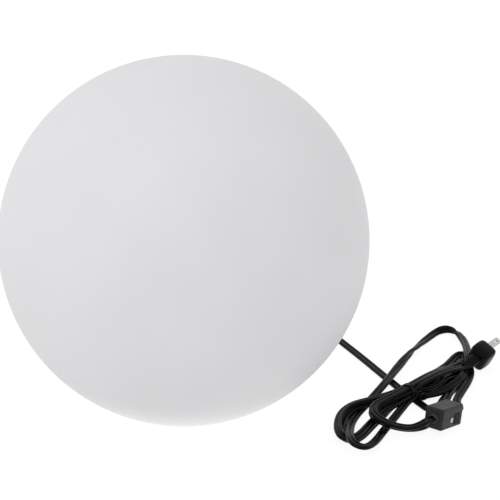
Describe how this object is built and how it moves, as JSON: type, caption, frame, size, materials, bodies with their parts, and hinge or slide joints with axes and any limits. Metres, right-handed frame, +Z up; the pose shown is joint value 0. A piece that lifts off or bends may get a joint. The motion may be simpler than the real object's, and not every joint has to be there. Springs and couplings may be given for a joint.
{
  "type": "round globe light",
  "caption": "White plastic ball light that stands on a screwed-in base cap, with a lamp holder and bulb inside, a cord switch and a two-blade plug.",
  "frame": {"origin": "centre of the rubber foot's underside, on the surface that the light stands on", "axes": "+Z up through the globe's centre; the cord leaves the base towards +Y and its hank lies on the +X side"},
  "size_m": [0.4297, 0.3168, 0.298],
  "materials": {
    "ball_plastic": "satin opal polyethylene",
    "base_plastic": "satin white plastic",
    "black_plastic": "fine moulded texture",
    "cord_vinyl": "semi-gloss vinyl",
    "black_rubber": "matt",
    "grey_rubber": "matt",
    "steel": "zinc plated",
    "nickel": "nickel plated",
    "brass": "satin",
    "phenolic": "moulded phenolic",
    "opal_dome": "opal",
    "circuit_board": "lacquered",
    "board_white": "white solder mask",
    "diode": "phosphor",
    "core": "smooth insulation"
  },
  "bodies": {
    "base": {"base_cap": "base_plastic", "foot_ring": "grey_rubber", "ballast_plate": "steel", "neck_seal": "black_rubber", "chassis_plate": "steel", "chassis_screws": "steel", "gland_body": "black_plastic", "gland_locknut": "black_plastic", "gland_nut": "black_plastic", "gland_seal": "black_rubber", "strain_relief": "black_rubber", "cord_inner": "cord_vinyl", "cord_clamp": "black_plastic", "clamp_screws": "steel", "terminal_block": "base_plastic", "terminal_screws": "brass", "supply_wires": "core", "lamp_wires": "core", "lamp_socket": "phenolic", "socket_screws": "steel", "socket_shell": "brass", "socket_contact": "brass", "switch_front": "black_plastic", "switch_back": "black_plastic", "switch_screw": "nickel", "switch_nut": "nickel", "switch_contacts": "brass", "switch_grommet_in": "black_rubber", "switch_grommet_out": "black_rubber", "switch_cord_in": "cord_vinyl", "switch_cord_out": "cord_vinyl", "plug_body": "cord_vinyl", "plug_bridge": "black_plastic", "plug_blades": "nickel", "plug_relief": "cord_vinyl", "cord_hank": "cord_vinyl", "cord_tie": "cord_vinyl", "cord_lead": "cord_vinyl", "cord_tail": "cord_vinyl", "cord_loop": "cord_vinyl"},
    "globe": {"globe_shell": "ball_plastic", "neck_collar": "ball_plastic"},
    "bulb": {"bulb_cap": "nickel", "bulb_insulator": "phenolic", "bulb_tip": "nickel", "bulb_housing": "base_plastic", "bulb_diffuser": "opal_dome", "bulb_board": "board_white", "bulb_diodes": "diode", "bulb_driver": "circuit_board"},
    "wheel": {"switch_wheel": "black_plastic"}
  },
  "joints": [
    {"name": "globe_lift", "type": "slide", "parent": "base", "child": "globe", "axis": [0, 0, 1], "range_m": [0, 0.16]},
    {"name": "bulb_pull", "type": "slide", "parent": "base", "child": "bulb", "axis": [0, 0, 1], "range_m": [0, 0.03]},
    {"name": "switch_turn", "type": "hinge", "parent": "base", "child": "wheel", "pos_m": [0.20901, -0.05135, 0.00984], "axis": [-0.776, 0.6307, 0], "continuous": true}
  ]
}
